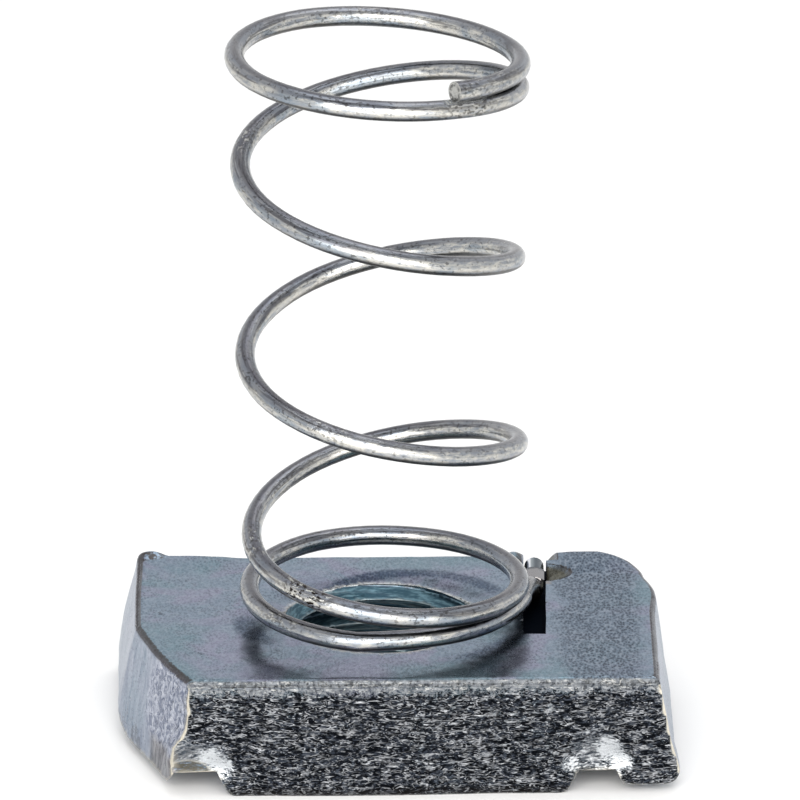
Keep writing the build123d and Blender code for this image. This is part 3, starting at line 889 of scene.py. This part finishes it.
def makeWireZinc():
    look, paint = wireFinish, tones(wireFinish["tones"])
    f = Finish("zinc plated wire")
    place = f.attribute("wirePlace", "Vector")
    along, side, up = f.parts(place)
    scuffed = f.attribute("scuffed")
    drawn = f.noise(f.stretch(place, (0.16, 3.0, 3.0)), 1.0, 3, 0.6)
    grain = f.noise(f.stretch(place, (0.8, 2.4, 2.4)), 1.6, 3, 0.65, 0.4)
    cloud = f.noise(f.stretch(place, (0.3, 1.0, 1.0)), 0.9, 3, 0.6, 0.5)
    dots = f.noise(f.stretch(place, (0.8, 1.0, 1.0)), 5.5, 1, 0.5)

    # Drawn wire: bright and grey along its length; the darker band over it, its thin dark lines,
    # its dark crown and its dark underside are painted shade and reflection
    strands = f.between(drawn * 0.5 + grain * 0.5, 0.38, 0.6)
    skin = f.tint(strands, paint["grey"], paint["bright"])
    skin = f.tint(f.between(cloud, 0.5, 0.62) * 0.6, skin, paint["blue"])
    over = f.between(up + (drawn - 0.5) * 0.3 + (cloud - 0.5) * 0.5, 0.24, 0.42)
    skin = f.tint(over * 0.75, skin, paint["over"])
    line = f.between(drawn, 0.55, 0.62) * f.between(up, 0.0, 0.3) * 0.6
    skin = f.tint(line, skin, paint["line"])
    skin = f.tint(f.between(up, 0.5, 0.59) * 0.65, skin, paint["crown"])
    under = -1.0 * up + (drawn - 0.5) * 0.3 + (grain - 0.5) * 0.3
    under = f.between(under, 0.12, 0.36)
    skin = f.tint(under * (0.85 - 0.5 * scuffed), skin, paint["dark"])

    # Specks all along, flecks and bright scratches where it is scuffed
    specks = f.between(dots, 0.57, 0.68) * (0.35 + 0.25 * f.between(cloud, 0.42, 0.58))
    flecks = f.between(dots + (grain - 0.5) * 0.6, 0.5, 0.58) * scuffed
    skin = f.tint(specks.most(flecks), skin, paint["fleck"])
    skin = f.tint(f.between(grain, 0.56, 0.64) * scuffed * 0.7, skin, paint["scuff"])

    # The cut end: pale, with a darker ring
    ringed = f.below(abs(f.distance(side, up) - look["cutRing"]), 0.04, 0.16)
    ringed = ringed * f.between(dots, 0.36, 0.56)
    cutSkin = f.tint(ringed * 0.8, paint["cut"], paint["cutRing"])
    skin = f.tint(f.below(along, 0.0, 0.04) * 0.9, skin, cutSkin)

    # The end in the slot: bluish, painted shade on one side and a painted highlight on the other
    tailStart, tailFull = (wireEnd - reach for reach in look["tail"])
    tailSkin = f.tint(f.between(side, -0.25, 0.15), paint["tailPale"], paint["tailShade"])
    gleam = f.between(-1.0 * side, 0.16, 0.26) * f.below(-1.0 * side, 0.4, 0.5)
    tailSkin = f.tint(gleam, tailSkin, paint["tailHighlight"])
    skin = f.tint(f.between(along, tailStart, tailFull) * 0.9, skin, tailSkin)

    height = drawn * 0.6 + grain * 0.45 + cloud * 1.0 - flecks * 0.3
    roughness = look["roughness"] + 0.2 * (grain - 0.5) + 0.15 * under
    return f.finishWith({
        "Base Color": skin, "Metallic": 1.0, "Roughness": roughness,
        "Normal": f.bump(height, look["bump"]),
    })


spring.data.materials.clear()
spring.data.materials.append(makeWireZinc())
workOn(spring)
bpy.ops.object.shade_smooth_by_angle(angle=radians(springShape["sharpAngle"]))
print("wire finished")

# Camera, level and turned as the nut is seen from the front
cameraSetup = {
    "lookAt": (0.66, 0.0, 7.35),
    "distance": 720.0,
    "pitch": 21.75,  # where it stands, in degrees above the floor and round the nut
    "yaw": 0.3,
    "roll": -0.368,
    "turnUp": 1.048,  # turned there, to place the nut in its view
    "turnRight": 0.042,
    "lens": 533.2,
    "sensor": 36,
}
pitch = radians(cameraSetup["pitch"])
yaw = radians(cameraSetup["yaw"])
ahead = Vector((sin(yaw) * cos(pitch), cos(yaw) * cos(pitch), -sin(pitch)))
right = Vector((cos(yaw), -sin(yaw), 0))
above = right.cross(ahead)
facing = Matrix((right, above, -ahead)).transposed()
facing = facing @ Matrix.Rotation(radians(cameraSetup["roll"]), 3, "Z")
facing = facing @ Matrix.Rotation(radians(cameraSetup["turnUp"]), 3, "X")
facing = facing @ Matrix.Rotation(-radians(cameraSetup["turnRight"]), 3, "Y")
bpy.ops.object.camera_add()
camera = bpy.context.active_object
camera.data.lens = cameraSetup["lens"]
camera.data.sensor_width = cameraSetup["sensor"]
stand = Vector(cameraSetup["lookAt"]) - ahead * cameraSetup["distance"]
camera.matrix_world = Matrix.Translation(stand * mm) @ facing.to_4x4()
bpy.context.scene.camera = camera

# Studio: pale floor, soft boxes, a black flag and a plain world
studioSetup = {
    "floorSize": 8,
    "floorTone": (0.97, 0.97, 0.97, 1),
    "flagAt": (0, -0.075, 0.24),  # between the front and overhead boxes, seen only in the metal
    "flagSize": (0.36, 0.034, 0),
    "flagTilt": -17,
    "flagTone": (0.01, 0.01, 0.01, 1),
    "roomLight": 0.78,  # what the room gives to the object and the floor
}
softBoxes = {  # place, size, shine, warmth, and the height it is aimed at
    "overhead": ((0.0, 0.06, 0.40), (0.26, 0.26), 1.0, (0.93, 0.96, 1.0), 0.02),
    "front": ((0.0, -0.13, 0.062), (0.24, 0.12), 2.2, (1.0, 0.97, 0.93), 0.062),
    "upper": ((-0.03, -0.26, 0.20), (0.30, 0.16), 2.2, (1.0, 0.98, 0.95), 0.02),
    "back": ((0.10, 0.22, 0.36), (0.20, 0.20), 1.1, (1.0, 1.0, 1.0), 0.02),
}
bpy.ops.mesh.primitive_plane_add(size=studioSetup["floorSize"])
floor = bpy.context.active_object
floor.name = "studio_floor"
floorLook = {"Base Color": studioSetup["floorTone"], "Roughness": 0.8}
floor.data.materials.append(Finish("studio floor").finishWith(floorLook))
for name, (at, size, shine, warmth, aimHeight) in softBoxes.items():
    bpy.ops.object.light_add(type="AREA", location=at)
    lamp = bpy.context.active_object
    lamp.name = "softbox_" + name
    lamp.data.shape = "RECTANGLE"
    lamp.data.size, lamp.data.size_y = size
    lamp.data.energy = shine * pi * size[0] * size[1]
    lamp.data.color = warmth
    lamp.visible_camera = False
    away = Vector(at) - Vector((0, 0, aimHeight))
    lamp.rotation_euler = away.to_track_quat("Z", "Y").to_euler()
bpy.ops.mesh.primitive_plane_add(size=1, location=studioSetup["flagAt"])
flag = bpy.context.active_object
flag.name = "studio_flag"
flag.dimensions = studioSetup["flagSize"]
flag.rotation_euler = (radians(studioSetup["flagTilt"]), 0, 0)
flagLook = {"Base Color": studioSetup["flagTone"], "Roughness": 0.9}
flag.data.materials.append(Finish("black flag").finishWith(flagLook))
flag.visible_camera = flag.visible_diffuse = flag.visible_shadow = False
world = bpy.data.worlds.new("studio")
bpy.context.scene.world = world
world.use_nodes = True


def makeRoom(world):
    # White where it is seen, directly or in the metal, and dimmer as a light
    tree = world.node_tree
    room = tree.nodes["Background"]
    path = tree.nodes.new("ShaderNodeLightPath")
    total = path.outputs["Is Camera Ray"]
    for name in ("Is Glossy Ray", "Is Transmission Ray"):
        most = tree.nodes.new("ShaderNodeMath")
        most.operation = "MAXIMUM"
        tree.links.new(total, most.inputs[0])
        tree.links.new(path.outputs[name], most.inputs[1])
        total = most.outputs[0]
    strength = tree.nodes.new("ShaderNodeMapRange")
    strength.inputs["To Min"].default_value = studioSetup["roomLight"]
    tree.links.new(total, strength.inputs["Value"])
    tree.links.new(strength.outputs[0], room.inputs["Strength"])
    room.inputs["Color"].default_value = (1, 1, 1, 1)


makeRoom(world)
bpy.context.scene.view_settings.view_transform = "Standard"
print("studio set")
